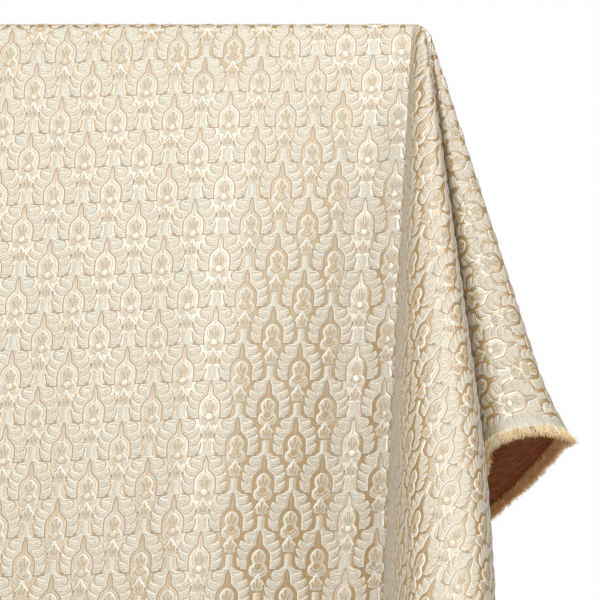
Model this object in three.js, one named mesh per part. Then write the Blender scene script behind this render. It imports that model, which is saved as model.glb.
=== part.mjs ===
// A length of damask upholstery cloth thrown over the front right corner of a plain table.
// Millimetres, +Z up. The front of the table looks along -Y and the cloth's corner fold hangs at +X, -Y.
// The cloth is one sheet. It lies flat on the table top, turns over the front and the right edge and
// hangs. Between the two drops a quarter circle of cloth has to go somewhere, and it stands out as a
// rounded front fold, a deep narrow pleat and a wide flare.
import * as THREE from 'three';

// Table
const TABLE_HEIGHT = 900;
const TABLE_WIDTH = 520;
const TABLE_DEPTH = 450;
const BOARD_THICKNESS = 26;
const BOARD_EDGE_RADIUS = 10;
const BOARD_CORNER_RADIUS = 16;
const LEG_SIZE = 44;
const LEG_INSET = 18;
const LEG_CHAMFER = 3;
const APRON_HEIGHT = 78;
const APRON_THICKNESS = 20;
const APRON_SETBACK = 6;
const JOINT_GAP = 0.3;

// Cloth
const CLOTH_THICKNESS = 1.5;
const CLOTH_ABOVE_TABLE = 0.3;
const FOOT_INSET = 6;
const FRONT_DROP = 620;
const SIDE_DROP = 420;
const LAID_WIDTH = 425;
const LAID_DEPTH = 360;
const EDGE_BEND = 10;

// The cloth lies a little askew: its warp runs to the right going back, its weft rises to the right.
const WARP_SLOPE = 0.0577;
const WEFT_SLOPE = 0.028;

// The front drop hangs a little way out from the table.
const FRONT_OUTWARD = 0.012;

// Generators of the corner, straight lines from the table corner down to the hem. 'angle' is measured in
// the flat cloth, from straight down the front, in degrees. 'right' and 'out' say how far the line goes
// to the right and toward the front for each unit that it drops. 'bend' is the radius at the table.
const CORNER_LINES = [
  { angle: -3.3, right: -0.0577, out: 0.012, bend: 10 },
  { angle: 5.0, right: -0.058, out: 0.150, bend: 11 },
  { angle: 13.0, right: -0.060, out: 0.288, bend: 13 },
  { angle: 19.0, right: -0.058, out: 0.390, bend: 15 },
  { angle: 24.5, right: -0.026, out: 0.440, bend: 18 },
  { angle: 32.0, right: 0.068, out: 0.444, bend: 24 },
  { angle: 36.0, right: 0.088, out: 0.392, bend: 23 },
  { angle: 44.0, right: 0.084, out: 0.250, bend: 18 },
  { angle: 52.0, right: 0.082, out: 0.110, bend: 14.5 },
  { angle: 60.0, right: 0.084, out: -0.030, bend: 13 },
  { angle: 64.0, right: 0.092, out: -0.096, bend: 14 },
  { angle: 67.5, right: 0.108, out: -0.086, bend: 17 },
  { angle: 72.0, right: 0.110, out: -0.010, bend: 18 },
  { angle: 75.5, right: 0.112, out: 0.054, bend: 18 },
  { angle: 78.0, right: 0.138, out: 0.084, bend: 18 },
  { angle: 81.0, right: 0.180, out: 0.096, bend: 18 },
  { angle: 86.0, right: 0.251, out: 0.096, bend: 18 },
  { angle: 88.5, right: 0.279, out: 0.078, bend: 18 },
  { angle: 90.0, right: 0.289, out: 0.056, bend: 18 },
];

// Generators of the side drop, by how far back along the table's right edge they start.
const SIDE_LINES = [
  { back: 0, right: 0.289, out: 0.056, bend: 18 },
  { back: 20, right: 0.297, out: 0.034, bend: 18 },
  { back: 60, right: 0.296, out: 0.014, bend: 15 },
  { back: 130, right: 0.262, out: 0.002, bend: 12 },
  { back: 220, right: 0.208, out: -0.012, bend: 11 },
  { back: 300, right: 0.158, out: -0.022, bend: 10 },
  { back: 360, right: 0.124, out: -0.028, bend: 10 },
];

// Soft upright swells of the front drop: where, how wide, and how far out at the hem.
const FRONT_SWELLS = [
  { left: 36, halfWidth: 44, depth: -9 },
  { left: 166, halfWidth: 54, depth: 10 },
  { left: 250, halfWidth: 100, depth: 7 },
  { left: 400, halfWidth: 60, depth: 3 },
];
const SWELL_GROWTH = 0.45;
const SWELL_START = 70;
const SWELL_FADE = 35;

// The front fold draws in below FOLD_DRAW_START, and the flare kicks out at its hem.
const FOLD_DRAW_START = 400;
const FOLD_DRAW = 0.000225;
const FOLD_DRAW_FROM = 22;
const FOLD_DRAW_TO = 70;
const FLARE_KICK_START = 350;
const FLARE_KICK_LENGTH = 80;
const FLARE_KICK = 12;

// The selvedge drops a little more at the flare's tip and toward the back.
const TIP_DROP = 10;
const TIP_DROP_WIDTH = 34;
const BACK_DROP = 0.0002;

// How finely the cloth is divided
const FRONT_COLUMNS = 12;
const COLUMNS_PER_CORNER_LINE = [3, 3, 2, 3, 3, 3, 3, 2, 2, 2, 2, 2, 2, 3, 2, 3, 3, 3];
const SIDE_COLUMNS = 10;
const BEND_ROWS = 4;
const DROP_ROWS = 15;

const DEGREES = Math.PI / 180;

// Smooth curve through the rows of a table, at x, by the column named key.
function readTable(rows, key, x, columns) {
  let i = 0;
  while (i < rows.length - 2 && x > rows[i + 1][key]) {
    i += 1;
  }
  const span = (k) => rows[k + 1][key] - rows[k][key];
  const rise = (k, name) => (rows[k + 1][name] - rows[k][name]) / span(k);
  const slope = (k, name) => {
    if (k === 0) {
      return rise(0, name);
    }
    if (k === rows.length - 1) {
      return rise(k - 1, name);
    }
    return (rise(k - 1, name) * span(k) + rise(k, name) * span(k - 1)) / (span(k) + span(k - 1));
  };
  const t = THREE.MathUtils.clamp((x - rows[i][key]) / span(i), 0, 1);
  const values = {};
  for (const name of columns) {
    const start = (2 * t ** 3 - 3 * t ** 2 + 1) * rows[i][name];
    const end = (3 * t ** 2 - 2 * t ** 3) * rows[i + 1][name];
    const leave = (t ** 3 - 2 * t ** 2 + t) * span(i) * slope(i, name);
    const arrive = (t ** 3 - t ** 2) * span(i) * slope(i + 1, name);
    values[name] = start + end + leave + arrive;
  }
  return values;
}

// A generator: where it starts on the table's edge lines, its direction in the flat cloth and in space.
function makeLine(foot, angle, right, out, bend) {
  const flat = new THREE.Vector2(Math.sin(angle * DEGREES), -Math.cos(angle * DEGREES));
  const leave = new THREE.Vector3(flat.x, flat.y, 0);
  const fall = new THREE.Vector3(right, -out, -1).normalize();
  const turn = Math.acos(THREE.MathUtils.clamp(leave.dot(fall), -1, 1));
  return { foot, angle, flat, leave, fall, turn, bend };
}

// Length of a generator in the flat cloth, from the table's edge to the front cut or the selvedge.
function lengthToHem(line) {
  const { foot, flat } = line;
  const frontRise = WEFT_SLOPE * flat.x - flat.y;
  const front = frontRise > 0.01 ? (FRONT_DROP + foot.y - WEFT_SLOPE * foot.x) / frontRise : Infinity;
  const sideRun = flat.x - WARP_SLOPE * flat.y;
  let side = Infinity;
  if (sideRun > 0.01 && foot.x >= 0) {
    side = SIDE_DROP / sideRun;
    for (let pass = 0; pass < 4; pass += 1) {
      const t = foot.y + Math.min(front, side) * flat.y;
      const tip = TIP_DROP * Math.exp(-((t / TIP_DROP_WIDTH) ** 2));
      const back = BACK_DROP * Math.max(t, 0) ** 2;
      side = (SIDE_DROP + tip + back + WARP_SLOPE * foot.y - foot.x) / sideRun;
    }
  }
  return Math.min(front, side);
}

// Point of the middle of the cloth, r along a generator, with the table's edge lines at the origin.
function hangingPoint(line, r) {
  const { foot, leave, fall, turn, bend, angle } = line;
  const turned = Math.min(r / bend, turn);
  const along = (bend / Math.sin(turn)) * (Math.cos(turn - turned) - Math.cos(turn));
  const down = (bend / Math.sin(turn)) * (1 - Math.cos(turned)) + Math.max(r - bend * turn, 0);
  const p = new THREE.Vector3(foot.x, foot.y, 0);
  p.addScaledVector(leave, along);
  p.addScaledVector(fall, down);
  if (foot.x < 0) {
    const fade = THREE.MathUtils.smoothstep(-foot.x, 0, SWELL_FADE);
    const growth = (r / FRONT_DROP) ** SWELL_GROWTH * THREE.MathUtils.smoothstep(r, 0, SWELL_START);
    for (const swell of FRONT_SWELLS) {
      const offset = (-foot.x - swell.left) / swell.halfWidth;
      p.y -= fade * growth * swell.depth * Math.exp(-(offset ** 2));
    }
  }
  if (angle > FOLD_DRAW_FROM && angle < FOLD_DRAW_TO) {
    const inFold = Math.sin((Math.PI * (angle - FOLD_DRAW_FROM)) / (FOLD_DRAW_TO - FOLD_DRAW_FROM));
    p.x -= Math.sqrt(inFold) * FOLD_DRAW * Math.max(r - FOLD_DRAW_START, 0) ** 2;
  }
  const kick = THREE.MathUtils.clamp((r - FLARE_KICK_START) / FLARE_KICK_LENGTH, 0, 1);
  const inFlare = THREE.MathUtils.smoothstep(angle, 80, 90) * THREE.MathUtils.smoothstep(fall.x, 0.12, 0.28);
  p.x += FLARE_KICK * inFlare * kick ** 2;
  return p;
}

// All generators from the left end of the front drop, round the corner, to the back of the side drop.
function makeLines() {
  const lines = [];
  for (let i = 0; i < FRONT_COLUMNS; i += 1) {
    const foot = new THREE.Vector2(-LAID_WIDTH * (1 - i / FRONT_COLUMNS), 0);
    lines.push(makeLine(foot, CORNER_LINES[0].angle, -WARP_SLOPE, FRONT_OUTWARD, EDGE_BEND));
  }
  const corner = new THREE.Vector2(0, 0);
  for (let i = 0; i < CORNER_LINES.length - 1; i += 1) {
    const count = COLUMNS_PER_CORNER_LINE[i];
    for (let k = 0; k < count; k += 1) {
      const angle = THREE.MathUtils.lerp(CORNER_LINES[i].angle, CORNER_LINES[i + 1].angle, k / count);
      const row = readTable(CORNER_LINES, 'angle', angle, ['right', 'out', 'bend']);
      lines.push(makeLine(corner, angle, row.right, row.out, row.bend));
    }
  }
  for (let i = 0; i <= SIDE_COLUMNS; i += 1) {
    const back = LAID_DEPTH * (i / SIDE_COLUMNS) ** 1.3;
    const angle = 90 + (Math.atan(WEFT_SLOPE) / DEGREES) * (back / LAID_DEPTH);
    const row = readTable(SIDE_LINES, 'back', back, ['right', 'out', 'bend']);
    lines.push(makeLine(new THREE.Vector2(0, back), angle, row.right, row.out, row.bend));
  }
  return lines;
}

// Rows of points of the cloth's middle, as a list of quads over a shared list of points.
function makeMiddle() {
  const points = [];
  const found = new Map();
  const quads = [];
  const add = (p) => {
    const key = `${p.x.toFixed(4)} ${p.y.toFixed(4)} ${p.z.toFixed(4)}`;
    if (!found.has(key)) {
      found.set(key, points.length);
      points.push(p);
    }
    return found.get(key);
  };
  const grid = (columns) => {
    for (let i = 0; i < columns.length - 1; i += 1) {
      for (let j = 0; j < columns[i].length - 1; j += 1) {
        quads.push([columns[i][j], columns[i][j + 1], columns[i + 1][j + 1], columns[i + 1][j]]);
      }
    }
  };
  const lines = makeLines();
  const hanging = lines.map((line) => {
    const bendLength = line.bend * line.turn;
    const total = lengthToHem(line);
    const column = [];
    for (let j = 0; j <= BEND_ROWS; j += 1) {
      column.push(add(hangingPoint(line, (bendLength * j) / BEND_ROWS)));
    }
    for (let j = 1; j <= DROP_ROWS; j += 1) {
      column.push(add(hangingPoint(line, bendLength + ((total - bendLength) * j) / DROP_ROWS)));
    }
    return column;
  });
  grid(hanging);
  const laid = [];
  for (let i = 0; i <= FRONT_COLUMNS; i += 1) {
    const column = [];
    for (let j = 0; j <= SIDE_COLUMNS; j += 1) {
      const back = LAID_DEPTH * (j / SIDE_COLUMNS) ** 1.3;
      const leftEdge = -LAID_WIDTH + WARP_SLOPE * back;
      const x = leftEdge * (1 - i / FRONT_COLUMNS);
      const askew = WEFT_SLOPE * x * (back / LAID_DEPTH);
      column.push(add(new THREE.Vector3(x, back + askew, 0)));
    }
    laid.push(column.reverse());
  }
  grid(laid);
  return { points, quads };
}

// One closed sheet of even thickness about the middle.
function makeCloth() {
  const { points, quads } = makeMiddle();
  const triangles = [];
  for (const [a, b, c, d] of quads) {
    if (a !== b && b !== c && a !== c) {
      triangles.push([a, b, c]);
    }
    if (a !== c && c !== d && a !== d) {
      triangles.push([a, c, d]);
    }
  }
  const normals = points.map(() => new THREE.Vector3());
  const edges = new Map();
  for (const [a, b, c] of triangles) {
    const ab = points[b].clone().sub(points[a]);
    const ac = points[c].clone().sub(points[a]);
    const normal = ab.cross(ac);
    for (const i of [a, b, c]) {
      normals[i].add(normal);
    }
    for (const [p, q] of [[a, b], [b, c], [c, a]]) {
      edges.set(`${p} ${q}`, [p, q]);
    }
  }
  const positions = [];
  const half = CLOTH_THICKNESS / 2;
  for (const side of [half, -half]) {
    points.forEach((p, i) => {
      const v = p.clone().addScaledVector(normals[i].clone().normalize(), side);
      positions.push(v.x, v.y, v.z);
    });
  }
  const count = points.length;
  const index = [];
  for (const [a, b, c] of triangles) {
    index.push(a, b, c);
    index.push(a + count, c + count, b + count);
  }
  for (const [p, q] of edges.values()) {
    if (!edges.has(`${q} ${p}`)) {
      index.push(p, p + count, q);
      index.push(q, p + count, q + count);
    }
  }
  const geometry = new THREE.BufferGeometry();
  geometry.setAttribute('position', new THREE.Float32BufferAttribute(positions, 3));
  geometry.setIndex(index);
  geometry.computeVertexNormals();
  return geometry;
}

// Board with rounded plan corners and rounded edges, its top face at z = 0.
function makeBoard() {
  const w = TABLE_WIDTH / 2 - BOARD_EDGE_RADIUS;
  const d = TABLE_DEPTH / 2 - BOARD_EDGE_RADIUS;
  const r = BOARD_CORNER_RADIUS - BOARD_EDGE_RADIUS;
  const outline = new THREE.Shape();
  outline.moveTo(-w + r, -d);
  outline.lineTo(w - r, -d);
  outline.absarc(w - r, -d + r, r, -Math.PI / 2, 0, false);
  outline.lineTo(w, d - r);
  outline.absarc(w - r, d - r, r, 0, Math.PI / 2, false);
  outline.lineTo(-w + r, d);
  outline.absarc(-w + r, d - r, r, Math.PI / 2, Math.PI, false);
  outline.lineTo(-w, -d + r);
  outline.absarc(-w + r, -d + r, r, Math.PI, 1.5 * Math.PI, false);
  const geometry = new THREE.ExtrudeGeometry(outline, {
    depth: BOARD_THICKNESS - 2 * BOARD_EDGE_RADIUS,
    bevelEnabled: true,
    bevelThickness: BOARD_EDGE_RADIUS,
    bevelSize: BOARD_EDGE_RADIUS,
    bevelSegments: 4,
    curveSegments: 4,
  });
  geometry.translate(0, 0, -BOARD_THICKNESS + BOARD_EDGE_RADIUS);
  return geometry;
}

// Square leg with narrow chamfers, its foot at z = 0.
function makeLeg(height) {
  const s = LEG_SIZE / 2;
  const c = LEG_CHAMFER;
  const outline = new THREE.Shape();
  outline.moveTo(-s + c, -s);
  outline.lineTo(s - c, -s);
  outline.lineTo(s, -s + c);
  outline.lineTo(s, s - c);
  outline.lineTo(s - c, s);
  outline.lineTo(-s + c, s);
  outline.lineTo(-s, s - c);
  outline.lineTo(-s, -s + c);
  outline.closePath();
  return new THREE.ExtrudeGeometry(outline, { depth: height, bevelEnabled: false });
}

function addMesh(parent, name, geometry, colour, roughness, place) {
  const material = new THREE.MeshStandardMaterial({ color: colour, roughness, metalness: 0 });
  const mesh = new THREE.Mesh(geometry, material);
  mesh.name = name;
  mesh.position.copy(place);
  parent.add(mesh);
}

function makeTable() {
  const table = new THREE.Group();
  const wood = 0xc9a77a;
  addMesh(table, 'table_top', makeBoard(), wood, 0.5, new THREE.Vector3(0, 0, TABLE_HEIGHT));
  const legHeight = TABLE_HEIGHT - BOARD_THICKNESS - JOINT_GAP;
  const legX = TABLE_WIDTH / 2 - LEG_INSET - LEG_SIZE / 2;
  const legY = TABLE_DEPTH / 2 - LEG_INSET - LEG_SIZE / 2;
  for (const [side, sx] of [['left', -1], ['right', 1]]) {
    for (const [end, sy] of [['front', -1], ['back', 1]]) {
      const place = new THREE.Vector3(sx * legX, sy * legY, 0);
      addMesh(table, `leg_${end}_${side}`, makeLeg(legHeight), wood, 0.5, place);
    }
  }
  const apronZ = legHeight - APRON_HEIGHT / 2;
  const longApron = 2 * legX - LEG_SIZE - 2 * JOINT_GAP;
  const shortApron = 2 * legY - LEG_SIZE - 2 * JOINT_GAP;
  const setback = LEG_SIZE / 2 - APRON_SETBACK - APRON_THICKNESS / 2;
  for (const [end, sy] of [['front', -1], ['back', 1]]) {
    const geometry = new THREE.BoxGeometry(longApron, APRON_THICKNESS, APRON_HEIGHT);
    addMesh(table, `apron_${end}`, geometry, wood, 0.5, new THREE.Vector3(0, sy * (legY + setback), apronZ));
  }
  for (const [side, sx] of [['left', -1], ['right', 1]]) {
    const geometry = new THREE.BoxGeometry(APRON_THICKNESS, shortApron, APRON_HEIGHT);
    addMesh(table, `apron_${side}`, geometry, wood, 0.5, new THREE.Vector3(sx * (legX + setback), 0, apronZ));
  }
  return table;
}

const model = new THREE.Group();
model.add(makeTable());
const clothPlace = new THREE.Vector3(
  TABLE_WIDTH / 2 - FOOT_INSET,
  -TABLE_DEPTH / 2 + FOOT_INSET,
  TABLE_HEIGHT + CLOTH_ABOVE_TABLE + CLOTH_THICKNESS / 2,
);
addMesh(model, 'damask_cloth', makeCloth(), 0xe6d9c2, 0.6, clothPlace);

// The origin is on the floor, under the middle of the whole.
const box = new THREE.Box3().setFromObject(model);
const middle = box.getCenter(new THREE.Vector3());
model.position.set(-middle.x, -middle.y, 0);
model.updateMatrixWorld(true);

export default model;
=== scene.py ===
"""A length of puffed damask thrown over the front right corner of a plain beech table."""

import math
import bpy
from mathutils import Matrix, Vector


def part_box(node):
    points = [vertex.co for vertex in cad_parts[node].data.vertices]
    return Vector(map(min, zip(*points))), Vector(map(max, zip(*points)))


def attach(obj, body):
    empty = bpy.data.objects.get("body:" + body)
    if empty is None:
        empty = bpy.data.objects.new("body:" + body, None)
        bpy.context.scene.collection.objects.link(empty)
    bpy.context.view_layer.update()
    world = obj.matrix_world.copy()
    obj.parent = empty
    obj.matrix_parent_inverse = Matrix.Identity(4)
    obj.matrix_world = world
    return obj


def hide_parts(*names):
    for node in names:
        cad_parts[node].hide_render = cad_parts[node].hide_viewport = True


bl_info = {
    "name": "Damask Over a Table",
    "version": (1, 0, 0),
    "blender": (4, 5, 0),
    "location": "3D View > Sidebar > Damask",
    "description": "Drapes, weaves and frays a length of puffed damask over a plain table",
    "category": "Object",
}

import bmesh
import bpy
import numpy as np
from bpy.props import FloatProperty, FloatVectorProperty, IntProperty, PointerProperty
from mathutils import Vector

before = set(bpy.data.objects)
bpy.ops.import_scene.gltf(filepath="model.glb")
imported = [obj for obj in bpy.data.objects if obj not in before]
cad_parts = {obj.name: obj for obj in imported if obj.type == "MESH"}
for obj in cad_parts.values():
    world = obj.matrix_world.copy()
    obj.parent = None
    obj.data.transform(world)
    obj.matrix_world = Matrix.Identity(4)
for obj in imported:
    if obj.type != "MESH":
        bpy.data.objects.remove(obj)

CLOTH_NODE = "damask_cloth"
BOARD_NODE = "table_top"
CLOTH_NAME = "damask_drape"
FRINGE_NAME = "side_fringe"
FLAT_UV = "flat"
EDGE_UV = "edges"

# The drape, in metres, measured from the point of the cloth that lies just inside the table's corner.
FOOT_INSET = 0.006
CLOTH_MIDDLE_ABOVE_TABLE = 0.00105
EDGE_BEND = 0.010
WARP_SLOPE = 0.0577
WEFT_SLOPE = 0.028
FRONT_OUTWARD = 0.012

# Straight lines of the corner, from the table down to the hem. The angle is in the flat cloth, in degrees
# from straight down the front; right and out are per unit of drop; bend is the radius at the table.
CORNER_LINES = (
    # angle, right, out, bend
    (-3.3, -0.0577, 0.012, 0.010),
    (5.0, -0.058, 0.150, 0.011),
    (13.0, -0.060, 0.288, 0.013),
    (19.0, -0.058, 0.390, 0.015),
    (24.5, -0.026, 0.440, 0.018),
    (32.0, 0.068, 0.444, 0.024),
    (36.0, 0.088, 0.392, 0.023),
    (44.0, 0.084, 0.250, 0.018),
    (52.0, 0.082, 0.110, 0.0145),
    (60.0, 0.084, -0.030, 0.013),
    (64.0, 0.097, -0.096, 0.014),
    (67.5, 0.117, -0.086, 0.017),
    (72.0, 0.119, -0.010, 0.018),
    (75.5, 0.1165, 0.054, 0.018),
    (78.0, 0.139, 0.084, 0.018),
    (81.0, 0.180, 0.096, 0.018),
    (86.0, 0.251, 0.096, 0.018),
    (88.5, 0.279, 0.078, 0.018),
    (90.0, 0.289, 0.056, 0.018),
)

# Straight lines of the side drop, by how far back along the table's right edge they start.
SIDE_LINES = (
    # back, right, out, bend
    (0.000, 0.289, 0.056, 0.018),
    (0.020, 0.297, 0.034, 0.018),
    (0.060, 0.296, 0.014, 0.015),
    (0.130, 0.262, 0.002, 0.012),
    (0.220, 0.208, -0.012, 0.011),
    (0.300, 0.158, -0.022, 0.010),
    (0.360, 0.124, -0.028, 0.010),
)

# Soft upright swells of the front drop, and one hollow beside the corner.
FRONT_SWELLS = (
    # left of the corner, half width, depth at the hem
    (0.036, 0.044, -0.009),
    (0.166, 0.054, 0.010),
    (0.250, 0.100, 0.007),
    (0.400, 0.060, 0.003),
)
SWELL_GROWTH = 0.45
SWELL_START = 0.070
SWELL_FADE = 0.035

FOLD_DRAW_START = 0.400
FOLD_DRAW = 0.225
FOLD_DRAW_SPAN = (22.0, 70.0)
FLARE_KICK_START = 0.350
FLARE_KICK_LENGTH = 0.080
FLARE_KICK = 0.012
TIP_DROP = 0.010
TIP_DROP_WIDTH = 0.034
BACK_DROP = 0.2

# How many columns of cloth lie between two angles of the corner.
CORNER_COLUMNS = (
    # from, to, columns
    (-3.3, 22.0, 62),
    (22.0, 38.0, 54),
    (38.0, 72.0, 42),
    (72.0, 90.0, 42),
)
FRONT_COLUMNS = 120
SIDE_COLUMNS = 88
DROP_ROWS = 156

# The damask's chart, in millimetres of a repeat 69.1 long, from the tip of the finial down.
REPEAT_LENGTH = 69.1
COLUMN_PITCH = 26.4

# Half width of the raised chain: pear, bulb and stem.
CHAIN_PROFILE = (
    # down, half width
    (0.0, 0.0),
    (16.6, 0.0),
    (17.2, 1.3),
    (18.2, 2.9),
    (19.6, 4.4),
    (21.2, 5.5),
    (23.2, 6.2),
    (25.2, 6.3),
    (27.2, 5.8),
    (28.8, 5.2),
    (29.8, 5.1),
    (31.0, 5.8),
    (32.5, 7.2),
    (34.3, 8.1),
    (36.3, 8.3),
    (38.3, 7.9),
    (40.0, 6.8),
    (41.2, 5.2),
    (42.2, 2.6),
    (43.0, 2.5),
    (44.4, 3.5),
    (46.0, 4.8),
    (47.6, 6.0),
    (49.6, 6.4),
    (51.4, 6.1),
    (52.8, 5.0),
    (53.8, 3.0),
    (54.4, 0.0),
    (55.9, 0.0),
    (56.3, 3.0),
    (64.0, 3.0),
    (66.0, 3.1),
    (67.2, 3.6),
    (68.2, 5.0),
    (69.1, 8.0),
)

# Half width of the satin finial and of the arch under it.
ARCH_PROFILE = (
    # down, half width
    (0.0, 0.0),
    (1.0, 0.8),
    (3.0, 1.7),
    (5.0, 2.3),
    (8.0, 2.75),
    (11.0, 2.9),
    (12.6, 3.2),
    (14.0, 4.2),
    (15.5, 5.8),
    (17.0, 7.3),
    (19.0, 8.8),
    (21.0, 9.7),
    (23.0, 10.1),
    (26.0, 10.3),
    (30.0, 10.3),
    (34.0, 10.1),
    (37.0, 9.4),
    (42.0, 8.0),
    (69.1, 8.0),
)
PROFILE_WIDTH = 12.0


# ---------------------------------------------------------------- settings


def colour_setting(name, description, default):
    """A colour that the user can change."""
    return FloatVectorProperty(
        name=name, description=description, default=default, size=3, subtype="COLOR", min=0, max=1
    )


def length_setting(name, description, default):
    """A length in metres that the user can change."""
    return FloatProperty(name=name, description=description, default=default, unit="LENGTH")


class DrapeSettings(bpy.types.PropertyGroup):
    """The drape"""

    front_drop: length_setting(
        "Front drop", "Length of cloth from the table's front edge to the cut end", 0.620
    )
    side_drop: length_setting(
        "Side drop", "Length of cloth from the table's right edge to the end of the fringe", 0.420
    )
    laid_width: length_setting("Laid width", "Width of the cloth that lies on the table", 0.425)
    laid_depth: length_setting("Laid depth", "Depth of the cloth that lies on the table", 0.360)
    ground_height: length_setting(
        "Ground", "Height of the satin ground above the middle of the cloth", 0.00035
    )
    puff_height: length_setting("Puff", "How far the padded shapes rise above the satin ground", 0.0013)
    reverse_depth: length_setting(
        "Reverse", "Depth of the reverse below the middle of the cloth", 0.0006
    )


class DamaskSettings(bpy.types.PropertyGroup):
    """The damask"""

    repeat_length: length_setting("Repeat", "Length of one repeat of the damask", 0.0691)
    phase: FloatVectorProperty(
        name="Phase",
        description="Where the chart starts, across and down, in metres",
        default=(0.0090, -0.0018),
        size=2,
        unit="LENGTH",
    )
    cream: colour_setting("Cream", "Colour of the padded face", (0.60, 0.52, 0.39))
    # Ivory: the yarn of the outlines and leaf streaks; on the rims of the puffs it also stands for a
    # painted highlight.
    ivory: colour_setting("Ivory", "Colour of the outlines", (0.86, 0.82, 0.71))
    satin: colour_setting("Satin", "Colour of the satin ground", (0.45, 0.265, 0.075))
    # Painted shade: the colour of the groove just outside the raised shapes, standing in for the shadow
    # there.
    seam: colour_setting(
        "Painted groove shade",
        "Colour of the thin line where the ground meets a raised shape",
        (0.29, 0.135, 0.004),
    )
    selvedge: colour_setting(
        "Selvedge", "Colour of the smooth band along the side edge", (0.53, 0.455, 0.33)
    )
    reverse: colour_setting("Reverse", "Colour of the back of the cloth", (0.29, 0.076, 0.013))
    reverse_floats: colour_setting(
        "Loose floats", "Colour of the loose yarns on the back, beside the selvedge", (0.40, 0.19, 0.09)
    )


class FringeSettings(bpy.types.PropertyGroup):
    """The fringe"""

    length: length_setting("Length", "Length of the frayed wefts past the selvedge", 0.009)
    radius: length_setting("Radius", "Radius of one frayed weft", 0.00030)
    strands: IntProperty(
        name="Strands",
        description="Number of frayed wefts along the whole edge",
        default=5600,
        min=100,
        max=6000,
    )
    pale: colour_setting("Pale", "Colour of the frayed wefts of the face", (1.0, 0.93, 0.75))
    golden: colour_setting(
        "Golden", "Colour of the frayed wefts between face and reverse", (1.0, 0.74, 0.37)
    )
    # The dark colour is partly the reverse's yarn and partly painted shade on the reverse side and the
    # back of the fringe.
    shadow: colour_setting("Dark", "Colour of the frayed wefts of the reverse", (0.84, 0.47, 0.18))


class TableSettings(bpy.types.PropertyGroup):
    """The table"""

    light_wood: colour_setting(
        "Light wood", "Colour of the beech between its growth lines", (0.56, 0.36, 0.19)
    )
    dark_wood: colour_setting("Dark wood", "Colour of the beech's growth lines", (0.42, 0.24, 0.11))


class StudioSettings(bpy.types.PropertyGroup):
    """The stage"""

    camera_offset: FloatVectorProperty(
        name="Camera",
        description="Place of the camera from the corner of the cloth",
        default=(-0.107, -2.2, -0.7228),
        size=3,
        subtype="TRANSLATION",
    )
    camera_pitch: FloatProperty(
        name="Pitch",
        description="How far the camera looks up",
        default=math.radians(11.72),
        unit="ROTATION",
    )
    lens: FloatProperty(
        name="Lens",
        description="Focal length in millimetres on a 36 mm sensor",
        default=145.3,
    )
    ambient: FloatProperty(
        name="Ambient",
        description="Strength of the even light from all sides",
        default=0.25,
    )


SETTINGS = {
    "damask_drape_settings": DrapeSettings,
    "damask_weave_settings": DamaskSettings,
    "damask_fringe_settings": FringeSettings,
    "damask_table_settings": TableSettings,
    "damask_studio_settings": StudioSettings,
}


def settings(name):
    return getattr(bpy.context.scene, f"damask_{name}_settings")


# ---------------------------------------------------------------- the weave's chart


class Value:
    """A number that varies over the cloth: an array on the mesh, or a socket in a shader group."""

    def __init__(self, loom, raw):
        self.loom = loom
        self.raw = raw

    def __add__(self, other):
        return self.loom.do("ADD", self, other)

    def __radd__(self, other):
        return self.loom.do("ADD", other, self)

    def __sub__(self, other):
        return self.loom.do("SUBTRACT", self, other)

    def __rsub__(self, other):
        return self.loom.do("SUBTRACT", other, self)

    def __mul__(self, other):
        return self.loom.do("MULTIPLY", self, other)

    def __rmul__(self, other):
        return self.loom.do("MULTIPLY", other, self)

    def __truediv__(self, other):
        return self.loom.do("DIVIDE", self, other)

    def __mod__(self, other):
        return self.loom.do("FLOORED_MODULO", self, other)

    def __abs__(self):
        return self.loom.do("ABSOLUTE", self)

    def __neg__(self):
        return self.loom.do("MULTIPLY", self, -1.0)


class ArrayLoom:
    """Works the chart out on arrays of points, for the relief of the mesh."""

    WORK = {
        "ADD": np.add,
        "SUBTRACT": np.subtract,
        "MULTIPLY": np.multiply,
        "DIVIDE": np.divide,
        "MINIMUM": np.minimum,
        "MAXIMUM": np.maximum,
        "ABSOLUTE": np.abs,
        "FLOOR": np.floor,
        "FLOORED_MODULO": np.mod,
        "SQRT": np.sqrt,
        "EXPONENT": np.exp,
        "SINE": np.sin,
    }

    def do(self, work, *values):
        return Value(self, self.WORK[work](*(getattr(v, "raw", v) for v in values)))

    def ramp(self, value, low, high):
        t = np.clip((value.raw - low) / (high - low), 0, 1)
        return Value(self, t * t * (3 - 2 * t))

    def profile(self, down, rows):
        rows = np.array(rows)
        return Value(self, np.interp(down.raw, rows[:, 0], rows[:, 1]))


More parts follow.
